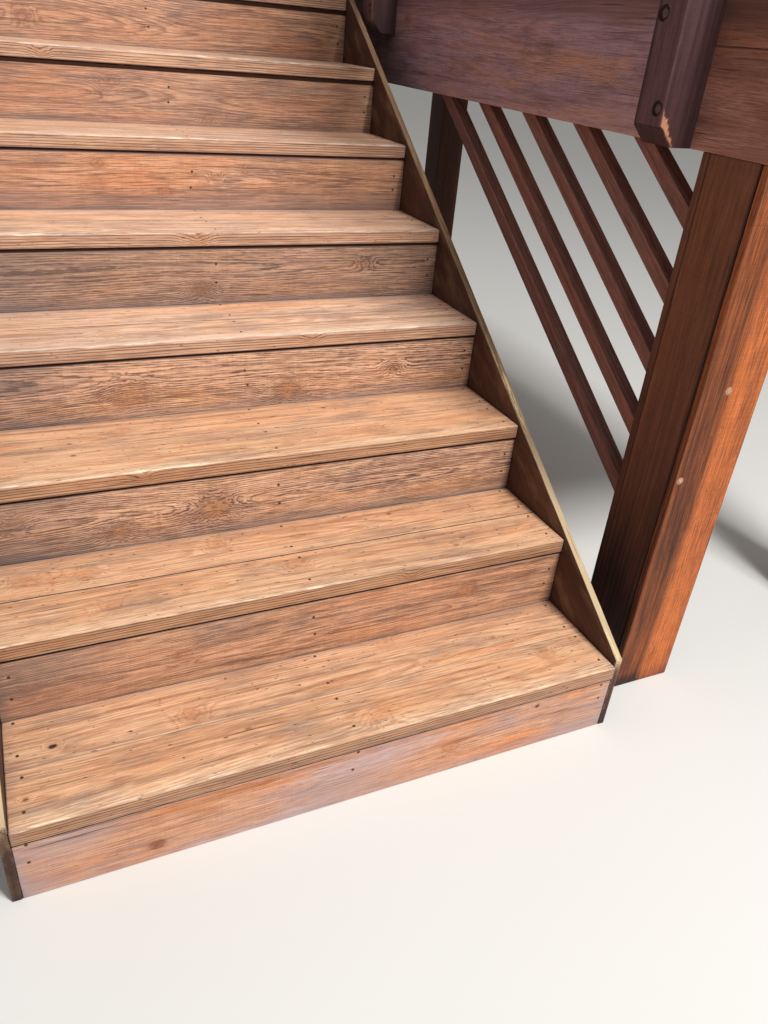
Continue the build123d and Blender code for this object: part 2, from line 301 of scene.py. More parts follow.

    # last come the dirt packed in joints with the black lines of painted shade under the noses,
    # a firm knot's core and the open checks
    packed_dirt_and_shade = add(tree, "MapRange", {"Value": grime_and_shade, "span": (1.0, 1.8)})
    core = add(tree, "MapRange SMOOTHSTEP", {"Value": off, "span": (1.05, 0.75)})
    firm = add(tree, "MapRange", {"Value": strength, "span": (0.75, 1.0)})
    core = add(tree, "Math MULTIPLY", {0: core, 1: firm})
    check = add(tree, "MapRange SMOOTHSTEP", {"Value": patterns["check"],
                                              "span": (0.70, 0.78, 0, CHECK_STRENGTH)})
    for share, shade in ((packed_dirt_and_shade, PACKED_DIRT_AND_SHADE), (core, KNOT_CORE), (check, OPEN_CHECK)):
        colour = add(tree, "Mix RGBA", {0: share, 6: colour, 7: paint(shade)}, 2)

    # relief: fibres stand up about 0.2 mm, saw marks less, checks and torn fibres cut in
    relief = add(tree, "Math MULTIPLY", {0: fibre, 1: 0.45})
    for height, source in ((saw, marks), (-1.5, check), (-2.0 * flecks, torn)):
        relief = add(tree, "Math MULTIPLY_ADD", {0: source, 1: height, 2: relief})
    normal = add(tree, "Bump", {"Height": relief, "Strength": 0.6, "Distance": 0.0008})
    gloss = add(tree, "MapRange", {"Value": streak, "span": (0, 1, rough + 0.08, rough - 0.08)})
    gloss = add(tree, "Math MAXIMUM", {0: gloss, 1: packed_dirt_and_shade})
    shader = add(tree, "BsdfPrincipled", {"Base Color": colour, "Roughness": gloss,
                                          "Normal": normal, "IOR": 1.45,
                                          "Specular IOR Level": polish})
    add(tree, "OutputMaterial", {"Surface": shader}, None)
    return material


# Softwood decking, planed and stained, then bleached and polished by feet
tread_wood = wood(
    "foot_worn_stained_cedar", "#edbb93", "#b0754f", "#97674c", "#a3826f", "#fbe3c2", "#e89a62",
    ring=0.0034, saw=0.08, rough=0.5, patches=0.8, flecks=0.34, specks=0.85, ridges=1.0,
    spread=0.14, polish=0.6, streaks=1.0)
# Higher treads lie longer in the sun and have bleached paler and pinker; part of the paleness
# is painted sheen of their grazing view
bleached_and_sheen_tread_wood = wood(
    "bleached_and_sheen_painted_cedar", "#f4caab", "#b67e5b", "#9c6f58", "#a88c80", "#fdefdc",
    "#eea671", saw=0.08, rough=0.5, contrast=0.7, patches=0.8, flecks=0.34, specks=0.7,
    ridges=1.0, spread=0.14, polish=0.6, streaks=1.0)
# The same stain on boards left rough from the saw, out of the sun, greyed by splash low down
riser_wood = wood(
    "rough_sawn_stained_cedar", "#e6af8a", "#734533", "#684232", "#8d7870", "#ecd0be",
    "#e08c58", ring=0.0032, saw=0.35, patches=0.6, flecks=0.44, spread=0.13)
# Rough boards whose soft wood has weathered away, so that the dark rings stand up and show
raised_riser_wood = wood(
    "raised_grain_stained_cedar", "#f5be9a", "#4b2a20", "#643c2c", "#8a766f", "#ecd0be",
    "#d28f4c", ring=0.0041, saw=0.5, contrast=1.0, patches=0.5, flecks=0.5, spread=0.13,
    streaks=0.75, ragged=1.5)
# The lowest riser, washed and bleached to a lavender white by splash where people step
low_riser_wood = wood(
    "splash_bleached_stained_cedar", "#e4aa85", "#a86648", "#7a3f2c", "#b29a98", "#dacad0",
    "#ea8f4a", ring=0.0036, saw=0.3, contrast=0.4, patches=0.7, spread=0.06, streaks=0.6,
    blooms=1.0)
# Thin side boards in red-brown stain, darkened further as painted shade of their inner faces,
# with the raw sawn edge left pale
skirt_wood = wood(
    "shade_darkened_skirt_with_raw_edge", "#4c2d24", "#361f19", "#2e1a14", "#a5805f", "#ecd0a4",
    "#5c3322", ring=0.0036, saw=0.3, flecks=0.25)
# Rough-sawn beam boards whose stain has weathered to a purple brown
rim_wood = wood(
    "weathered_rough_sawn_beam", "#ad8993", "#866672", "#664b52", "#6e4c4b", "#c49479",
    "#b87f66", ring=0.0036, saw=0.5, contrast=0.5, patches=0.6, flecks=0.32, streaks=0.7,
    blooms=1.0)
# The sheltered beam boards by the front post have kept more of their red
front_rim_wood = wood(
    "sheltered_rough_sawn_beam", "#96604f", "#73473a", "#603c34", "#5f4039", "#b2857a",
    "#ad6a47", ring=0.0036, saw=0.5, contrast=0.5, flecks=0.3, streaks=0.6, blooms=0.9)
# Deck boards, walked on less than the treads and weathered more
deck_wood = wood(
    "weathered_stained_decking", "#a0765f", "#74503c", "#694a3c", "#8a776b", "#bd9a82",
    "#a06c4a", ring=0.0045, saw=0.05, ridges=0.7)
# Thin boards round the front posts, oiled to a bright red brown: the lit copy, on the front
# boards
casing_wood = wood(
    "oiled_redwood_casing", "#c86e3a", "#954e28", "#67341d", "#351a13", "#e9a878", "#dd7a3d",
    ring=0.0034, saw=0.6, contrast=0.35, flecks=0.45, specks=0.6, streaks=0.55, ragged=1.5)
# The casing's darker copy for the side and back boards: painted shade on the faces turned from
# the light
shade_painted_casing_wood = wood(
    "shade_painted_redwood_casing", "#86523a", "#6e412d", "#55301f", "#351a13", "#94674f", "#8d5133",
    ring=0.0034, saw=0.4, contrast=0.35, patches=0.3, flecks=0.3, specks=0.5, streaks=0.6)
# Square bars, rail posts and guard: stained softwood, greyer where the rain reaches it
slat_wood = wood(
    "stained_square_bars", "#8b5c52", "#5f3d37", "#50322d", "#6e544f", "#c09a8e", "#8d5442",
    ring=0.0045)
# the rail wood is darkened as painted shade, the rail posts standing in shade
guard_wood = wood(
    "shade_darkened_rail_wood", "#664546", "#4c3435", "#3e282a", "#332022", "#f0a878", "#67433e",
    ring=0.0034, saw=0.4, patches=0.3, flecks=0.25)
# Heavy timber with a dull stain, darkened as painted shade, and dry unstained lumber out of
# sight
timber_wood = wood(
    "shade_darkened_post_timber", "#4a2a20", "#351d17", "#2c1815", "#3d2a24", "#8a6a57", "#502e1d",
    ring=0.0050, polish=0.15)
joist_wood = wood(
    "kiln_dried_framing", "#b88f66", "#93693f", "#8a6542", "#86705c", "#cbab84", "#bb8a58",
    ring=0.0060)


def metal(name, shade, rough, shine=0.4):
    """Painted or galvanised steel, or without shine bruised wood: an even coat, mottled by
    noise about 3 mm across."""
    material, tree = bare_material(name)
    coords = add(tree, "TexCoord", {}, "Object")
    mottle = add(tree, "TexNoise", {"Vector": coords, "Scale": 320.0, "Detail": 3.0})
    level = add(tree, "MapRange", {"Value": mottle, "span": (0.3, 0.7, 0.7, 1.25)})
    colour = add(tree, "VectorMath SCALE", {0: paint(shade)[:3], "Scale": level})
    normal = add(tree, "Bump", {"Height": mottle, "Strength": 0.4, "Distance": 0.0003})
    shader = add(tree, "BsdfPrincipled", {"Base Color": colour, "Metallic": shine,
                                          "Roughness": rough, "Normal": normal})
    add(tree, "OutputMaterial", {"Surface": shader}, None)
    return material


# Screws have a brown baked coating, bolts and washers hot-dip zinc gone dull under stain,
# casing nails bright zinc
screw_steel = metal("brown_coated_deck_screw", "#604637", 0.6)
bolt_steel = metal("stained_zinc_bolt", "#5c4744", 0.5)
nail_steel = metal("bright_zinc_nail", "#b9a79c", 0.35)
torn_fibre = metal("torn_fibre_round_a_nail", "#b98568", 0.8, 0.0)


def fade(value, start, end):
    """0 at start, 1 at end, smooth between: 3 t^2 - 2 t^3. The end may lie below the start."""
    t = np.clip((value - start) / (end - start), 0, 1)
    return t * t * (3 - 2 * t)


def waver(s, rng, lengths, size):
    """A gentle wave along s: size times the mean of sines of the given wavelengths, each at a
    random phase."""
    phases = rng.uniform(0, 2 * math.pi, len(lengths))
    waves = [np.sin(2 * math.pi * s / length + phase) for length, phase in zip(lengths, phases)]
    return size * np.mean(waves, axis=0)


def section(width, depth, spacing, lines=()):
    """A rounded rectangle as base points and normals, so that a point is
    base * (half - r) + r * normal. Each side runs u from -1 to 1 at base (1, u), each corner
    turns its normal through 90 degrees at base (1, 1). On the wide sides more points sit at the
    given distances from both edges."""
    base, normal = [], []
    bend = np.linspace(0, math.pi / 2, 4)
    for turn in range(4):
        side = depth if turn % 2 == 0 else width
        end = 1 - 0.002 / side
        even = np.linspace(-1, 1, max(1, int(side / spacing)) + 1)[1:-1]
        more = [1 - 2 * d / side for d in lines] if turn % 2 else []
        u = np.sort(np.concatenate([[-end], even, [end], more, [-m for m in more]]))
        x, y = np.concatenate([np.ones_like(u), np.ones(4)]), np.concatenate([u, np.ones(4)])
        quarter = turn * math.pi / 2
        angle = np.concatenate([np.zeros_like(u), bend]) + quarter
        c, s = round(math.cos(quarter)), round(math.sin(quarter))
        base.append(np.stack([c * x - s * y, s * x + c * y], 1))
        normal.append(np.stack([np.cos(angle), np.sin(angle)], 1))
    return np.concatenate(base), np.concatenate(normal)


def stops(length, step, ease):
    """Distances along a board: even steps, and four close ones at each eased end."""
    near = ease * (1 - np.cos(np.linspace(0, math.pi / 2, 4)))
    even = np.linspace(ease, length - ease, max(2, int(length / step)))
    parts = np.concatenate([near, length - near, even])
    s = np.unique(np.round(np.clip(parts, 0, length), 5))
    return s[np.concatenate([[True], np.diff(s) > 2e-4])]


def skin(rows, around):
    """Faces over rows of points, each row a closed loop: a quad joins points i and i + 1 to the
    same two in the next row, and a flat cap closes the first row and the last."""
    t = np.arange(around)
    row, nxt = np.arange(rows - 1)[:, None] * around, (t + 1) % around
    quads = np.stack([row + t, row + nxt, row + around + nxt, row + around + t], -1)
    return quads.reshape(-1, 4), [t[::-1].tolist(), (t + (rows - 1) * around).tolist()]


def lumber(points, faces, local, knot, from_arris, edge, rng, tone, wear_and_light, grime_and_shade):
    """A board's points and faces with its attributes. Its log starts at a random place, and the
    wear, with any painted light, is 0.5 * exp(-distance from the arris / 2.5 mm) or what the wear
    function gives there, if more; the grime function gives grime with any painted shade."""
    log = (rng.uniform(0, 40), rng.uniform(-0.05, 0.05), rng.uniform(0.03, 0.11))
    rubbed_and_lit = 0.5 * np.exp(-from_arris / 0.0025)
    if wear_and_light is not None:
        rubbed_and_lit = np.maximum(rubbed_and_lit, wear_and_light(points))
    dirt_and_shade = np.zeros(len(points)) if grime_and_shade is None else grime_and_shade(points)
    tone = np.full(len(points), rng.uniform(0, 1) if tone is None else tone)
    return {"points": points, "quads": faces[0], "caps": faces[1], "coat": 0,
            "grain": local + np.array(log), "finish": np.stack([tone, rubbed_and_lit, dirt_and_shade], 1),
            "knot": knot, "edge": edge}


# far from any knot
NO_KNOT = (99.0, 99.0, 0.0)


def board(low, high, along, face, seed, arris=EASED, step=0.05, spacing=0.03, knots=(),
          wear_and_light=None, grime_and_shade=None, rough_edge=0.3, tone=None, tight=0, lines=()):
    """A sawn board between two corners. Its rounded section is carried along the length, drawn
    in by 0.8 * (arris - sqrt(arris^2 - (arris - d)^2)) at a distance d under one arris from the
    end, and the arris itself wavers. On the tight side, +1 or -1 across, it is 0.12 of that."""
    rng = np.random.default_rng(seed)
    low, high = np.array(low, float), np.array(high, float)
    across = 3 - along - face
    size, middle = high - low, (high + low) / 2
    half = np.array([size[across], size[face]]) / 2
    s = stops(size[along], step, arris)
    base, normal = section(size[across], size[face], spacing, lines)
    end = np.minimum(s, size[along] - s)
    curve = arris - np.sqrt(np.maximum(arris ** 2 - (arris - end) ** 2, 0))
    inset = np.where(end < arris, curve, 0) * 0.8
    radius = arris * (1 + np.abs(waver(s, rng, (0.31, 0.083, 0.041, 0.017), 2 * rough_edge)))
    radius = radius[:, None] * np.where(base[:, 0] * tight > 0, 0.12, 1.0)[None]
    ring = base[None] * (half - radius[:, :, None]) \
        + normal[None] * (radius - inset[:, None])[:, :, None]
    count, around = len(s), len(base)
    local = np.concatenate([np.repeat(s, around)[:, None], ring.reshape(-1, 2)], 1)
    points = np.empty_like(local)
    points[:, along] = low[along] + local[:, 0]
    points[:, across] = middle[across] + local[:, 1]
    points[:, face] = middle[face] + local[:, 2]
    quads, caps = skin(count, around)
    if (along, across, face) not in ((0, 1, 2), (1, 2, 0), (2, 0, 1)):
        quads, caps = quads[:, ::-1], [c[::-1] for c in caps]

    knot = np.full((len(points), 3), NO_KNOT)
    front = np.tile(normal[:, 0] < -0.7, count)
    for where, side, r, strength, *on_edge in knots:
        aside = local[:, 2] if on_edge else local[:, 1]
        here = np.stack([(local[:, 0] - where) / (1.5 * r), (aside - side) / r], 1)
        away = np.hypot(here[:, 0], here[:, 1])
        firm = np.where(front == bool(on_edge), strength * fade(away, 4.5, 2.5), 0)
        closer = away < np.hypot(knot[:, 0], knot[:, 1])
        knot[closer] = np.column_stack([here, firm])[closer]
    from_arris = np.maximum(half[0] - np.abs(local[:, 1]), half[1] - np.abs(local[:, 2]))
    edge = np.tile(np.abs(normal[:, 0]), count)
    return lumber(points, (quads, caps), local, knot, from_arris, edge, rng, tone, wear_and_light, grime_and_shade)


def plate(outline, x_low, x_high, seed, step=0.03, wear_and_light=None, grime_and_shade=None):
    """A board cut to an outline of (y, z) points in the side view, its fibres up the flight.
    Each level moves every corner inwards by inset * (n1 + n2) / (1 + n1.n2), and the levels turn
    a quarter circle from each face to the edge."""
    rng = np.random.default_rng(seed)
    corners = np.array(outline, float)
    after = np.roll(corners, -1, 0)
    if np.sum(corners[:, 0] * after[:, 1] - after[:, 0] * corners[:, 1]) < 0:
        corners = corners[::-1]
    edge = np.roll(corners, -1, 0) - corners
    length = np.linalg.norm(edge, axis=1)
    inward = np.stack([-edge[:, 1], edge[:, 0]], 1) / length[:, None]
    before = np.roll(inward, 1, 0)
    miter = (before + inward) / (1 + np.sum(before * inward, 1))[:, None]
    thick = x_high - x_low
    rise = [(EASED + 0.0055, 0.0), (EASED + 0.001, 0.0)]
    rise += [(EASED * (1 - math.sin(a)), EASED * (1 - math.cos(a)))
             for a in np.linspace(0, math.pi / 2, 4)]
    levels = rise + [(0.0, thick * 0.5)] + [(i, thick - x) for i, x in rise[::-1]]
    counts = [max(1, int(side / step)) for side in length]
    share = np.concatenate([np.linspace(0, 1, count + 1)[:-1] for count in counts])
    first = np.repeat(np.arange(len(corners)), counts)
    second = (first + 1) % len(corners)
    rings = []
    for inset, x in levels:
        moved = corners + miter * inset
        yz = moved[first] * (1 - share)[:, None] + moved[second] * share[:, None]
        rings.append(np.concatenate([np.full((len(yz), 1), x_low + x), yz], 1))
    points = np.concatenate(rings)
    x, y, z = points.T
    c, s = math.cos(LEAN), math.sin(LEAN)
    local = np.stack([y * c + z * s, z * c - y * s, x - x_low], 1)
    around = len(share)
    off = np.repeat([inset for inset, _ in levels], around)
    deep = np.repeat([min(x, thick - x) for _, x in levels], around)
    return lumber(points, skin(len(levels), around), local, np.full((len(points), 3), NO_KNOT),
                  np.maximum(off, deep), np.where(off < 1e-6, 1.0, 0.0), rng, None, wear_and_light, grime_and_shade)


def carry(mesh, **attributes):
    """Writes attributes to a mesh, each with one number or three for every point."""
    for key, values in attributes.items():
        kind, field = ("FLOAT", "value") if values.ndim == 1 else ("FLOAT_VECTOR", "vector")
        made = mesh.attributes.new(key, kind, "POINT")
        made.data.foreach_set(field, values.astype(np.float32).ravel())


def fasten(name, mesh, node=None):
    """Makes an object of a finished mesh, rides it on the root, and lets it stand for a node."""
    made = bpy.data.objects.new(name, mesh)
    bpy.context.scene.collection.objects.link(made)
    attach(made, "root")
    if node:
        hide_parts(node)


def piece(name, parts, material, node):
    """Joins boards into one object: all points in one list, face numbers moved on by the points
    before them. Given two materials, a board's coat says which of them it has."""
    starts = np.cumsum([0] + [len(p["points"]) for p in parts]).tolist()
    faces, smooth, coats = [], [], []
    for part, start in zip(parts, starts):
        quads, caps = (part["quads"] + start).tolist(), part["caps"]
        faces += quads + [[i + start for i in cap] for cap in caps]
        smooth += [True] * len(quads) + [False] * len(caps)
        coats += [part["coat"]] * (len(quads) + len(caps))
    mesh = bpy.data.meshes.new(name)
    mesh.from_pydata(np.concatenate([p["points"] for p in parts]).tolist(), [], faces)
    mesh.polygons.foreach_set("use_smooth", smooth)
    carry(mesh, **{key: np.concatenate([p[key] for p in parts])
                   for key in ("grain", "finish", "knot", "edge")})
    for coat in material if isinstance(material, tuple) else (material,):
        mesh.materials.append(coat)
    mesh.polygons.foreach_set("material_index", coats)
    mesh.update()
    fasten(name, mesh, node)


def corners_of(node):
    """A CAD node's lowest and highest corners as arrays."""
    low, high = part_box(node)
    return np.array(low), np.array(high)


# Treads: two boards each. A knot is how far along the board and aside of its middle it lies, its
# radius and its strength, and True where it comes out on the front edge.
tread_knots = {
    (1, 0): [(0.737, -0.032, 0.015, 0.5), (1.195, 0.024, 0.013, 0.6),
             (0.033, -0.004, 0.004, 0.9), (0.46, 0.03, 0.004, 0.85)],
    (1, 1): [(0.090, -0.029, 0.0055, 1.0), (0.361, -0.035, 0.013, 0.6),
             (0.840, 0.046, 0.014, 0.5), (1.1, -0.02, 0.004, 0.85)],
    (2, 0): [(0.652, 0.024, 0.014, 0.55), (1.05, -0.01, 0.004, 0.85), (0.24, 0.0, 0.012, 0.5),
             (0.9, 0.0, 0.010, 0.55, True)],
    (2, 1): [(0.083, -0.009, 0.016, 0.5), (0.203, -0.018, 0.015, 0.5), (0.50, 0.015, 0.012, 0.7),
             (0.95, 0.03, 0.004, 0.9)],
    (3, 0): [(0.95, 0.01, 0.014, 0.5), (0.22, 0.04, 0.004, 0.9), (0.35, 0.0, 0.009, 0.5, True)],
    (3, 1): [(0.86, 0.02, 0.005, 0.9), (0.34, 0.0, 0.015, 0.5)],
    (4, 0): [(0.35, 0.0, 0.014, 0.5), (0.84, 0.002, 0.010, 0.5, True)],
    (5, 0): [(0.611, -0.001, 0.014, 0.74, True)],
    (5, 1): [(0.8, 0.01, 0.012, 0.6)],
    (6, 1): [(0.6, 0.01, 0.012, 0.7)],
    (7, 0): [(0.318, -0.002, 0.010, 0.6, True)],
}
# tones rise up the flight: the upper treads are paler, partly from bleaching and partly as
# painted sheen
tread_tones = (0.3, 0.4, 0.62, 0.85, 1.0, 0.95, 0.95, 0.8)
FIRST_HIGH_TREAD = 4
# the width of the seam between the boards of a step and how black it is: on two steps they have
# swollen tight
OPEN_SEAM, OPEN_SEAM_DIRT = 0.0013, 1.9
TIGHT_SEAM, TIGHT_SEAM_DIRT = 0.0006, 0.9
TIGHT_STEPS = (1, 3)
MOST_WORN_STEPS = (3, 4)


def foot_wear_and_highlight(p, low, high, most):
    """Wear on the upper face: up to most in the front 50 mm, and 0.25 more in the front 7 mm, a
    painted highlight along the nose.
    """
    back = p[:, 1] - low[1]
    worn_and_lit = most * fade(back, 0.05, 0.01) + 0.25 * fade(back, 0.007, 0.003)
    return np.where(p[:, 2] > high[2] - 0.004, worn_and_lit, 0)


def tread_dirt_and_shade(p, low, high, seam, seam_dirt):
    """Splash within 30 mm of the riser and 20 mm of the skirts, packed dirt in the seam, darker
    lines along the skirts and the riser, and a black line of painted shade under the front edge."""
    x, y, z = np.abs(p[:, 0]), p[:, 1], p[:, 2]
    side, back = high[0], high[1]
    splash = 0.7 * fade(y, back - 0.03, back) + 0.5 * fade(x, side - 0.02, side)
    packed_dirt_and_shade = seam_dirt * fade(np.abs(y - seam), 0.0016, 0.0010) \
        + 1.5 * fade(x, side - 0.004, side) + 2.0 * fade(y, back - 0.0035, back - 0.001)
    # a black line of painted shade along the front edge's underside
    shade_under_nose = 2.0 * fade(z, low[2] + 0.004, low[2] + 0.001)
    return splash + packed_dirt_and_shade + np.where(y < low[1] + 0.005, shade_under_nose, 0)


for step in range(1, TREADS + 1):
    low, high = corners_of(f"tread_{step}")
    gap = TIGHT_SEAM if step in TIGHT_STEPS else OPEN_SEAM
    seam_dirt = TIGHT_SEAM_DIRT if step in TIGHT_STEPS else OPEN_SEAM_DIRT
    most = 0.65 if step in MOST_WORN_STEPS else 0.5
    width = (high[1] - low[1] - gap) / 2
    seam = low[1] + width + gap / 2
    boards = []
    for index, front in enumerate((low[1], low[1] + width + gap)):
        boards.append(board(
            (low[0], front, low[2]), (high[0], front + width, high[2]), 0, 2,
            100 * step + index, arris=TREAD_EDGE, step=0.02, spacing=0.008,
            knots=tread_knots.get((step, index), ()), tone=tread_tones[step - 1],
            tight=1 - 2 * index, wear_and_light=lambda p: foot_wear_and_highlight(p, low, high, most),
            grime_and_shade=lambda p: tread_dirt_and_shade(p, low, high, seam, seam_dirt)))
    piece(f"tread_boards_{step}", boards,
          tread_wood if step < FIRST_HIGH_TREAD else bleached_and_sheen_tread_wood,
          f"tread_{step}")

# Risers: one thin board each. For every one: its wood, its tone, how grey it is all over and at
# its foot and how high that reaches, the height of the black line of painted shade under the
# nose, and its knots.
risers = {
    1: (low_riser_wood, 0.5, 0.0, 0.35, 0.05, 0.004, [
        (0.248, -0.036, 0.011, 0.86), (0.9, 0.0, 0.013, 0.5), (1.121, 0.053, 0.004, 1.0)]),
    2: (riser_wood, 0.5, 0.05, 0.6, 0.05, 0.005, [
        (1.065, 0.033, 0.017, 0.7), (0.368, 0.017, 0.012, 0.5), (0.064, 0.009, 0.012, 0.5)]),
    3: (raised_riser_wood, 0.65, 0.15, 0.9, 0.09, 0.005, [
        (0.51, 0.01, 0.024, 0.75), (0.075, 0.04, 0.014, 0.6), (0.29, -0.02, 0.017, 0.7)]),
    4: (raised_riser_wood, 0.8, 0.15, 0.9, 0.08, 0.006, [
        (1.081, 0.019, 0.012, 0.8), (0.776, -0.021, 0.020, 0.75), (0.79, -0.090, 0.006, 1.0),
        (0.375, 0.003, 0.026, 0.55)]),
    5: (raised_riser_wood, 0.0, 0.45, 0.8, 0.08, 0.008, [
        (0.621, -0.019, 0.016, 0.79), (1.1, 0.04, 0.010, 0.6)]),
    6: (riser_wood, 0.5, 0.05, 0.85, 0.12, 0.008, [
        (0.411, 0.062, 0.010, 0.6), (0.820, 0.050, 0.007, 0.55), (0.732, 0.032, 0.007, 0.5),
        (0.588, -0.011, 0.012, 0.7)]),
    7: (riser_wood, 0.55, 0.35, 0.8, 0.06, 0.010, [
        (0.490, 0.045, 0.014, 0.5), (0.782, -0.035, 0.010, 0.7)]),
    8: (riser_wood, 0.4, 0.25, 0.7, 0.07, 0.013, [(0.3, 0.0, 0.012, 0.6)]),
    9: (riser_wood, 0.4, 0.25, 0.7, 0.07, 0.010, [(0.9, 0.0, 0.012, 0.6)]),
}
# steps whose left end has stayed dirty
DIRTY_LEFT_ENDS = range(2, 7)


def riser_grey_and_shade(p, low, high, overall, at_foot, reach, line):
    """Grey rising from the foot as high as reach, a black line of painted shade under the nose,
    and darker within 4 mm of the skirts."""
    x, up = p[:, 0], p[:, 2] - low[2]
    grey = overall + (at_foot - overall) * fade(up, reach, 0.2 * reach)
    nose_shadow = np.where(p[:, 2] > high[2] - line - 0.0012, 2.0, 0.0)
    return grey + nose_shadow + 1.2 * fade(np.abs(x), high[0] - 0.004, high[0])


def washed(p, low, high):
    """Wear on the lowest riser: a slanting band in the middle that splash has bleached."""
    up = p[:, 2] - low[2]
    band = fade(np.abs(p[:, 0] + 0.22 - 2.4 * up), 0.26, 0.05)
    return 0.8 * band * (p[:, 2] < high[2] - 0.02)


def splashed(p, low):
    """Grime on the lowest riser: slanting patches 0.66 m apart, the positive half of a cosine."""
    up = p[:, 2] - low[2]
    return 0.5 * np.clip(np.cos(9.5 * (p[:, 0] + 0.08 - 1.2 * up)), 0, 1)


for step in range(1, RISERS + 1):
    low, high = corners_of(f"riser_{step}")
    surface, tone, overall, at_foot, reach, line, knots = risers[step]
    made = board(
        low, high, 0, 1, 900 + step, step=0.02, spacing=0.008, knots=knots, tone=tone,
        lines=(line, line + 0.0016), rough_edge=0.05,
        wear_and_light=(lambda p: washed(p, low, high)) if step == 1 else None,
        grime_and_shade=lambda p: riser_grey_and_shade(p, low, high, overall, at_foot, reach, line)
        + (splashed(p, low) if step == 1 else 0.0)
        + (0.4 * fade(p[:, 0], -0.3, -0.62) if step in DIRTY_LEFT_ENDS else 0.0))
    piece(f"riser_board_{step}", [made], surface, f"riser_{step}")


def nosing_line(y):
    """Height of the line through the upper front edges of the treads: rise + slope * (y - y of
    the first)."""
    return RISE + SLOPE * (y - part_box("tread_1")[0][1])


# Skirts: cut to the flight, the upper edge raw and pale; paler low down and browner above is
# painted light and shade
first_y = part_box("skirt_left")[0][1]
last_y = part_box("skirt_left")[1][1]
frame_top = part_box("tread_1")[1][2] * RISERS - PLANK
landing_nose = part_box("landing_deck_boards")[0][1]
skirt_depth = WIDE_BOARD / math.cos(LEAN)
skirt_foot_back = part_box("tread_1")[0][1] + (skirt_depth - SKIRT_LIP - RISE) / SLOPE
skirt_outline = [
    (first_y, 0.0),
    (first_y, nosing_line(first_y) + SKIRT_LIP),
    (landing_nose, nosing_line(landing_nose) + SKIRT_LIP),
    (landing_nose, frame_top),
    (last_y, frame_top),
    (last_y, nosing_line(last_y) + SKIRT_LIP - skirt_depth),
    (skirt_foot_back, 0.0),
]


def raw_edge(p):
    """1 on the skirt's sloping upper edge, 0 from 2 mm under it."""
    return fade(p[:, 2] - nosing_line(p[:, 1]) - SKIRT_LIP, -0.0022, -0.0008)


for side, seed in (("left", 31), ("right", 32)):
    low, high = corners_of(f"skirt_{side}")
    # the edge's paleness fades and browns with height: painted light low down, painted shade
    # above
    made = plate(skirt_outline, low[0], high[0], seed,
                 wear_and_light=lambda p: raw_edge(p) * (1 - 0.22 * fade(p[:, 2], 0.35, 0.85)),
                 grime_and_shade=lambda p: raw_edge(p) * 0.75 * fade(p[:, 2], 0.45, 0.85))
    piece(f"skirt_board_{side}", [made], skirt_wood, f"skirt_{side}")


def rim_painted_light(p, low, along):
    """Painted light: paler within 1.3 m of the start and 0.24 m of the foot, full within 0.2 m
    and
    40 mm.
    """
    return 0.9 * fade(p[:, along] - low[along], 1.3, 0.2) * fade(p[:, 2] - low[2], 0.24, 0.04)


def rim_grime_and_shade(p, low, along):
    """Grime from 0.20 m above the foot upwards, and painted shade growing between 0.9 and 1.9 m
    along.
    """
    return np.maximum(0.8 * fade(p[:, 2] - low[2], 0.20, 0.235),
                      0.6 * fade(p[:, along] - low[along], 0.9, 1.9))


# Rims: boards stacked on edge round the deck frame, the long one behind the near rail post a
# wide board below a narrow one. They are paler towards the low front, which is painted light,
# grimy along the top, and darker towards the far end, which is painted shade.
side_rim_knots = [(0.27, -0.03, 0.016, 0.6), (0.62, 0.0, 0.012, 0.7), (1.35, 0.05, 0.012, 0.8),
                  (1.9, -0.04, 0.014, 0.6)]
for number, name in enumerate(("side_rim_front", "side_rim_back", "outer_rim", "front_rim",
                               "landing_header", "left_rim", "back_rim")):
    low, high = corners_of(name)
    along = 1 if high[1] - low[1] > high[0] - low[0] else 0
    is_side_back = name == "side_rim_back"
    joint = low[2] + (WIDE_BOARD if is_side_back else RIM_BOARD)
    lower_knots = side_rim_knots if is_side_back else [(0.62, 0.03, 0.012, 0.6)]
    boards = []
    for index, (bottom, top, knots) in enumerate((
            (low[2], joint - RIM_JOINT / 2, lower_knots), (joint + RIM_JOINT / 2, high[2], ()))):
        boards.append(board(
            (low[0], low[1], bottom), (high[0], high[1], top), along, 1 - along,
            700 + 10 * number + index, step=0.04, spacing=0.02, knots=knots,
            wear_and_light=lambda p: rim_painted_light(p, low, along), grime_and_shade=lambda p: rim_grime_and_shade(p, low, along)))
    piece(f"{name}_boards", boards, front_rim_wood if name == "side_rim_front" else rim_wood,
          name)

# Deck boards: all run the way the flight climbs
for name, count in (("side_deck_boards", 7), ("landing_deck_boards", 10)):
    low, high = corners_of(name)
    pitch = (high[0] - low[0] + DECK_GAP) / count
    piece(f"{name}_planks", [
        board((left, low[1], low[2]), (left + pitch - DECK_GAP, high[1], high[2]), 1, 2,
              1200 + 20 * count + index, step=0.08, spacing=0.02)
        for index, left in enumerate(low[0] + np.arange(count) * pitch)
    ], deck_wood, name)

# Casings: four thin boards round each front post, the front and back ones lapping the sides.
# The front board is rough on its left part, where it carries painted shade; the side and back
# boards have the painted-shade copy of the wood, with more painted shade towards the foot, and
# the side boards' joint with the front board is black.
FRONT_COAT, SHADE_PAINTED_COAT = 0, 1


def casing_face_shade(p, left):
    """Painted shade: dark to between 67 and 95 mm from the left edge, less so above 0.75 m, and
    at the foot.
    """
    return 0.8 * fade(left + 0.085 - p[:, 0], -0.010, 0.018) \
        * (1 - 0.4 * fade(p[:, 2], 0.75, 1.2)) + 0.5 * fade(p[:, 2], 0.05, 0.0)


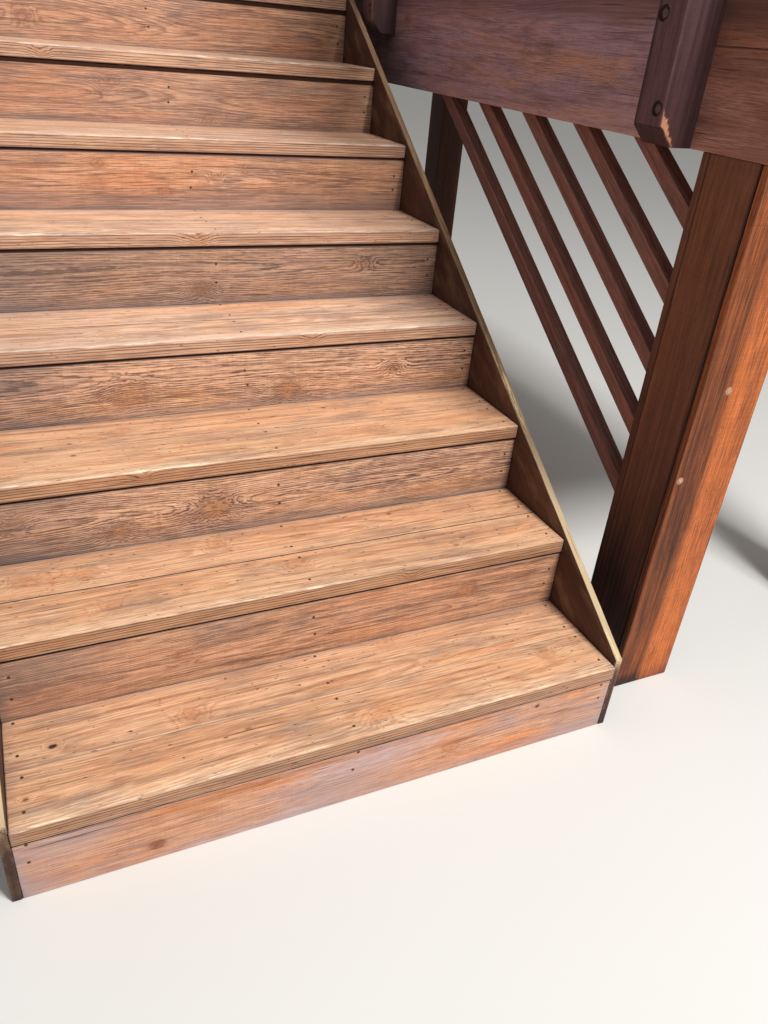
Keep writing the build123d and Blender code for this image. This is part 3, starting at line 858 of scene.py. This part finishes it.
def casing_side_shade_and_joint(p, front):
    """Painted shade: grey all over and darker from 1.2 m down; black within 3 to 7 mm of the
    front board, at the joint.
    """
    return 0.3 + 0.7 * fade(p[:, 2], 1.2, 0.15) + fade(np.abs(p[:, 1] - front), 0.007, 0.003)


low, high = corners_of("front_post_casings")
casing_knots = [(0.45, -0.03, 0.008, 0.6), (0.74, 0.0, 0.008, 0.6), (1.05, 0.03, 0.009, 0.5)]
boards = []
for index, left in enumerate((low[0], high[0] - CASED_SIDE)):
    for k, near in enumerate((low[1], high[1] - THIN)):
        boards.append(board(
            (left, near, low[2]), (left + CASED_SIDE, near + THIN, high[2]), 2, 1,
            1700 + 10 * index + k, step=0.04, spacing=0.012, knots=casing_knots,
            grime_and_shade=lambda p: casing_face_shade(p, left)))
        boards[-1]["coat"] = (FRONT_COAT, SHADE_PAINTED_COAT)[k]
    for k, side in enumerate((left, left + CASED_SIDE - THIN)):
        boards.append(board(
            (side, low[1] + THIN + CASING_STEP, low[2]),
            (side + THIN, high[1] - THIN - CASING_STEP, high[2]), 2, 0,
            1705 + 10 * index + k, step=0.04, spacing=0.006,
            grime_and_shade=lambda p: casing_side_shade_and_joint(p, low[1] + THIN)))
        # the side boards take the painted-shade copy of the casing wood
        boards[-1]["coat"] = SHADE_PAINTED_COAT
piece("front_post_casing_boards", boards, (casing_wood, shade_painted_casing_wood),
      "front_post_casings")

# Plain posts
for number, name in enumerate(("header_inner_post", "header_left_post", "back_left_post",
                               "back_outer_post")):
    made = board(*corners_of(name), 2, 0, 1900 + number, step=0.08, spacing=0.02)
    piece(f"{name}_timber", [made], timber_wood, name)

# Sloping slats: square bars on edge behind the rim, cut plumb at the post and level at the top
low, high = corners_of("sloping_slats")
slat_height = SLAT / math.cos(LEAN)
slat_pitch = (SLAT + SLAT_GAP) / math.cos(LEAN)
boards = []
for index in range(5):
    foot = low[2] + index * slat_pitch
    far = low[1] + (high[2] - foot) / SLOPE
    outline = [(low[1], foot), (far, high[2]), (far - slat_height / SLOPE, high[2]),
               (low[1], foot + slat_height)]
    boards.append(plate(outline, low[0], high[0], 2100 + index))
piece("sloping_slat_bars", boards, slat_wood, "sloping_slats")

# Guard: two rails on edge with square balusters between them, and the cap board over the posts
low, high = corners_of("guard_balusters")
boards = [board((low[0], low[1], z), (high[0], high[1], z + RAIL), 1, 0, 2300 + k, step=0.08)
          for k, z in enumerate((low[2], high[2] - RAIL))]
count = round((high[1] - low[1]) / BALUSTER_PITCH) - 1
pitch = (high[1] - low[1]) / (count + 1)
for index in range(count):
    y = low[1] + (index + 1) * pitch
    boards.append(board((low[0] + EASED, y - SLAT / 2, low[2] + RAIL - EASED),
                        (high[0] - EASED, y + SLAT / 2, high[2] - RAIL + EASED), 2, 0,
                        2310 + index, step=0.1))
piece("guard_rails_and_balusters", boards, guard_wood, "guard_balusters")
made = board(*corners_of("cap_rail"), 1, 2, 2400, arris=0.004, step=0.05, spacing=0.012)
piece("cap_rail_board", [made], guard_wood, "cap_rail")


def solids_of(mesh):
    """Numbers each point of a mesh by its own solid: every point takes the lowest number among
    its neighbours, and in turn that point's own, until none changes, and the solids are counted
    in that order."""
    ends = np.zeros(len(mesh.edges) * 2, dtype=np.int32)
    mesh.edges.foreach_get("vertices", ends)
    a, b = ends.reshape(-1, 2).T
    number = np.arange(len(mesh.vertices))
    while True:
        lowest = number.copy()
        np.minimum.at(lowest, a, number[b])
        np.minimum.at(lowest, b, number[a])
        lowest = lowest[lowest]
        if (lowest == number).all():
            return np.unique(number, return_inverse=True)[1]
        number = lowest


def dressed(node, material, along, face, seed, ease=EASED, lean=0.0, rub=True, cuts=(),
            wear_and_light=None, grime_and_shade=None):
    """A copy of a CAD node with its arrises rounded, and the attributes of a board: each solid's
    own place is its distance from its lowest corner along the fibres, across and through, turned
    by the lean. Each cut (axis, place) adds a line of points where that plane meets the
    surface."""
    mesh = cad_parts[node].data.copy()
    work = bmesh.new()
    work.from_mesh(mesh)
    bmesh.ops.remove_doubles(work, verts=work.verts, dist=1e-5)
    bmesh.ops.dissolve_limit(work, angle_limit=math.radians(1), verts=work.verts,
                             edges=work.edges)
    sharp = [e for e in work.edges
             if len(e.link_faces) == 2 and e.calc_face_angle(0) > math.radians(40)]
    bmesh.ops.bevel(work, geom=sharp, offset=ease, segments=3, profile=0.5, affect="EDGES",
                    clamp_overlap=True)
    for axis, at in cuts:
        here, way = np.zeros(3), np.zeros(3)
        here[axis], way[axis] = at, 1.0
        bmesh.ops.bisect_plane(work, geom=work.verts[:] + work.edges[:] + work.faces[:],
                               plane_co=here, plane_no=way)
    work.to_mesh(mesh)
    work.free()
    mesh.name = f"{node}_dressed"
    points = np.zeros(len(mesh.vertices) * 3)
    mesh.vertices.foreach_get("co", points)
    points = points.reshape(-1, 3)
    across = 3 - along - face
    grain, finish = np.zeros_like(points), np.zeros_like(points)
    solid = solids_of(mesh)
    for number in range(solid.max() + 1):
        own = solid == number
        rng = np.random.default_rng(seed + number)
        low, high = points[own].min(0), points[own].max(0)
        place = points[own] - low
        a, b = place[:, along], place[:, across]
        c, s = math.cos(lean), math.sin(lean)
        log = (rng.uniform(0, 40), rng.uniform(-0.1, 0), rng.uniform(0.03, 0.1))
        grain[own] = np.stack([a * c + b * s, b * c - a * s, place[:, face]], 1) + log
        inside = np.minimum(place, high - low - place).min(1)
        finish[own, 0] = rng.uniform(0, 1)
        finish[own, 1] = np.where((inside > 1e-4) & rub, 0.5, 0)
        if wear_and_light is not None:
            finish[own, 1] = np.maximum(finish[own, 1] * 0.6, wear_and_light(points[own], low, high))
            finish[own, 2] = grime_and_shade(points[own], low, high)
    carry(mesh, grain=grain, finish=finish)
    mesh.materials.clear()
    mesh.materials.append(material)
    mesh.polygons.foreach_set("material_index", [0] * len(mesh.polygons))
    mesh.polygons.foreach_set("use_smooth", [False] * len(mesh.polygons))
    fasten(f"{node}_dressed", mesh, node)


CHIP_HEIGHT = 0.070


def chip(p, low, high):
    """1 on the raw wood where the near rail post has lost a splinter beside its foot bevel:
    within w = 15 mm * sin(pi * h / 70 mm) of the bevel's edge, w broken by two waves, h being
    the height above the foot."""
    h = p[:, 2] - low[2]
    from_edge = p[:, 0] - low[0] - np.clip(FOOT_BEVEL - h, 0, None)
    reach = 0.015 * np.sin(math.pi * np.clip(h / CHIP_HEIGHT, 0, 1)) \
        + 0.0025 * np.sin(h * 190) + 0.0015 * np.sin(h * 520)
    gone = (p[:, 1] < low[1] + 0.004) & (h < CHIP_HEIGHT) & (from_edge < reach)
    return np.where(gone, 1.0, 0.0)


def rail_post_darkening(p, low, high):
    """Darker stain on the end grain of the foot bevel, darker in a 13 mm strip along the far
    arris, and painted shade on the front face where the chip hasn't bared it."""
    h = p[:, 2] - low[2]
    bevel = (h < 0.0365) & (np.abs(p[:, 0] - low[0] - FOOT_BEVEL + h) < 0.003)
    strip = (p[:, 0] < low[0] + 0.002) & (p[:, 1] > high[1] - 0.0133)
    front = (p[:, 1] < low[1] + 0.001) & (chip(p, low, high) < 0.5)
    return np.where(bevel, 0.9, np.where(strip, 0.7, np.where(front, 0.55, 0.0)))


# Rail posts: the CAD's own shape, with lines of points round the dark strip and the chip
low, high = corners_of("rail_post_near")
lines = [(1, high[1] - d) for d in (0.013, 0.0135)] + [(1, low[1] + d) for d in (0.0035, 0.0045)]
lines += [(0, low[0] + 0.003 * k) for k in range(1, 20)]
lines += [(2, low[2] + 0.003 * k) for k in range(1, 26)]
dressed("rail_post_near", guard_wood, 2, 0, 2500, ease=0.002, rub=False,
        cuts=lines, wear_and_light=chip, grime_and_shade=rail_post_darkening)
low, high = corners_of("rail_post_far")
dressed("rail_post_far", guard_wood, 2, 0, 2510, ease=0.002,
        cuts=[(1, high[1] - d) for d in (0.013, 0.0135)],
        wear_and_light=lambda p, low, high: np.zeros(len(p)), grime_and_shade=rail_post_darkening)

# Framing that only the other sides show, and the timbers inside the casings
for node, along, face, seed, sawn in (
        ("side_joists", 0, 1, 2520, False), ("landing_joists", 0, 1, 2540, False),
        ("foot_plate", 0, 2, 2550, False), ("outer_carriages", 1, 0, 2560, True),
        ("middle_carriages", 1, 0, 2570, True)):
    dressed(node, joist_wood, along, face, seed,
            lean=LEAN if sawn else 0.0, rub=not sawn)
for node, seed in (("front_inner_post", 2580), ("front_outer_post", 2590)):
    dressed(node, timber_wood, 2, 0, seed)


def heads(name, centres, out, profile, material, sides=12):
    """Small turned heads: each is one profile of (radius r, height h) turned about its axis n
    and moved to its centre, centre + r cos(a) u + r sin(a) v + h n, with a closed middle."""
    centres, n = np.array(centres, float), np.array(out, float)
    u = np.cross(n, (0.0, 0.0, 1.0) if abs(n[2]) < 0.5 else (1.0, 0.0, 0.0))
    u /= np.linalg.norm(u)
    v = np.cross(n, u)
    angle = np.arange(sides) * 2 * math.pi / sides
    spoke = np.cos(angle)[:, None] * u + np.sin(angle)[:, None] * v
    r, h = np.array(profile).T
    one = r[:, None, None] * spoke[None] + h[:, None, None] * n
    points = (centres[:, None, None, None] + one[None]).reshape(-1, 3)
    quads, (_, top) = skin(len(r), sides)
    starts = np.arange(len(centres)) * len(r) * sides
    faces = (quads[None] + starts[:, None, None]).reshape(-1, 4).tolist()
    faces += [(start + np.array(top)).tolist() for start in starts]
    mesh = bpy.data.meshes.new(name)
    mesh.from_pydata(points.tolist(), [], faces)
    mesh.materials.append(material)
    mesh.update()
    fasten(name, mesh)


# Screws: two through each tread board and each riser into every carriage, a little off the line
SCREWS_BACK = (0.035, 0.124, 0.175, 0.266)
SCREWS_UP = (0.096, 0.143)
IN_FROM_ENDS = 0.993
OFF_LINE = 0.005
scatter = np.random.default_rng(7)
dish = [(0.0036, 0.0), (0.0034, 0.0003), (0.0028, 0.0003), (0.0014, 0.0001), (0.0009, 0.0001)]
for board_name, count, places, out in (("tread", TREADS, SCREWS_BACK, (0, 0, 1)),
                                       ("riser", RISERS, SCREWS_UP, (0, -1, 0))):
    spots = []
    for step in range(1, count + 1):
        low, high = corners_of(f"{board_name}_{step}")
        for x in CARRIAGES_X:
            for place in places:
                jog = scatter.uniform(-OFF_LINE, OFF_LINE, 2)
                aside = x * IN_FROM_ENDS + jog[0]
                spots.append((aside, low[1] + place + jog[1], high[2]) if out[2]
                             else (aside, low[1], low[2] + place + jog[1]))
    heads(f"{board_name}_screws", spots, out, dish, screw_steel)

# Bolts in the pockets of the rail posts: a washer on the pocket's floor and a domed head on it
spots = []
for name in ("rail_post_near", "rail_post_far"):
    low, high = corners_of(name)
    for y, up in zip((low[1] + POCKET_FROM_EDGE, high[1] - POCKET_FROM_EDGE), POCKETS_UP):
        spots.append((low[0] + POCKET_DEPTH, y, low[2] + up))
washer = [(0.0135, 0.0), (0.0135, 0.0018), (0.0130, 0.0022), (0.006, 0.0022)]
heads("bolt_washers", spots, (-1, 0, 0), washer, bolt_steel, 32)
dome = [(0.0098, 0.002), (0.0096, 0.0045), (0.0085, 0.0062), (0.0062, 0.0074), (0.003, 0.0080),
        (0.001, 0.0081)]
heads("bolt_heads", spots, (-1, 0, 0), dome, bolt_steel, 32)

# Two bright nails in the face of the inner front post's casing, each in a bruise where the
# hammer struck
nails = [(0.803, 0.0335, 0.624), (0.866, 0.0335, 0.838)]
nail_head = [(0.0050, 0.0), (0.0047, 0.0008), (0.0033, 0.0014), (0.001, 0.0016)]
bruise = [(0.0095, 0.0), (0.0086, 0.0003), (0.0060, 0.0002), (0.001, 0.0001)]
heads("casing_nails", nails, (0, -1, 0), nail_head, nail_steel)
heads("casing_nail_bruises", nails, (0, -1, 0), bruise, torn_fibre, 9)

# Stage: a wide pale floor
pale = bpy.data.materials.new("matte_studio_paper")
pale.use_nodes = True
shader = pale.node_tree.nodes["Principled BSDF"]
shader.inputs["Base Color"].default_value = paint("#dedcd7")
shader.inputs["Roughness"].default_value = 0.95
REACH = 40.0
sheet = bpy.data.meshes.new("studio_floor")
sheet.from_pydata([(x * REACH, y * REACH, 0.0) for x, y in ((-1, -1), (1, -1), (1, 1), (-1, 1))],
                  [], [(0, 1, 2, 3)])
sheet.materials.append(pale)
floor = bpy.data.objects.new("studio_floor", sheet)
scene = bpy.context.scene
scene.collection.objects.link(floor)

# Light: an even pale surround, which the camera sees at full strength, and one soft lamp
world = bpy.data.worlds.new("even_surround")
scene.world = world
world.use_nodes = True
tree = world.node_tree
tree.nodes.clear()
seen = add(tree, "LightPath", {}, "Is Camera Ray")
around = add(tree, "Background", {"Color": paint("#ffffff"), "Strength": 0.35})
backing = add(tree, "Background", {"Color": paint("#e4e2dd"), "Strength": 1.0})
both = add(tree, "MixShader", {0: seen, 1: around, 2: backing})
add(tree, "OutputWorld", {"Surface": both}, None)

# The lamp hangs high on the right in front of the flight, its -Z axis pointing at the steps
softbox = bpy.data.lights.new("key_softbox", "AREA")
softbox.shape = "SQUARE"
softbox.size = 1.4
softbox.energy = 480
lamp = bpy.data.objects.new("key_softbox", softbox)
lamp.location = (1.5, -2.9, 6.1)
x, y, z = np.array((0.2, 1.0, 0.6)) - np.array(lamp.location)
lamp.rotation_euler = (math.atan2(math.hypot(x, y), -z), 0.0, math.atan2(y, x) - math.pi / 2)
scene.collection.objects.link(lamp)

# Camera: where the photograph was taken from, a 28.5 mm lens on a 36 mm tall frame
eye = bpy.data.cameras.new("camera")
eye.lens = 28.476
eye.sensor_width = 36.0
eye.clip_start = 0.05
camera = bpy.data.objects.new("camera", eye)
camera.location = (-0.53683, -1.14028, 1.44689)
camera.rotation_euler = [math.radians(a) for a in (59.2384, -4.7556, -24.0925)]
scene.collection.objects.link(camera)
scene.camera = camera
scene.view_settings.view_transform = "Standard"
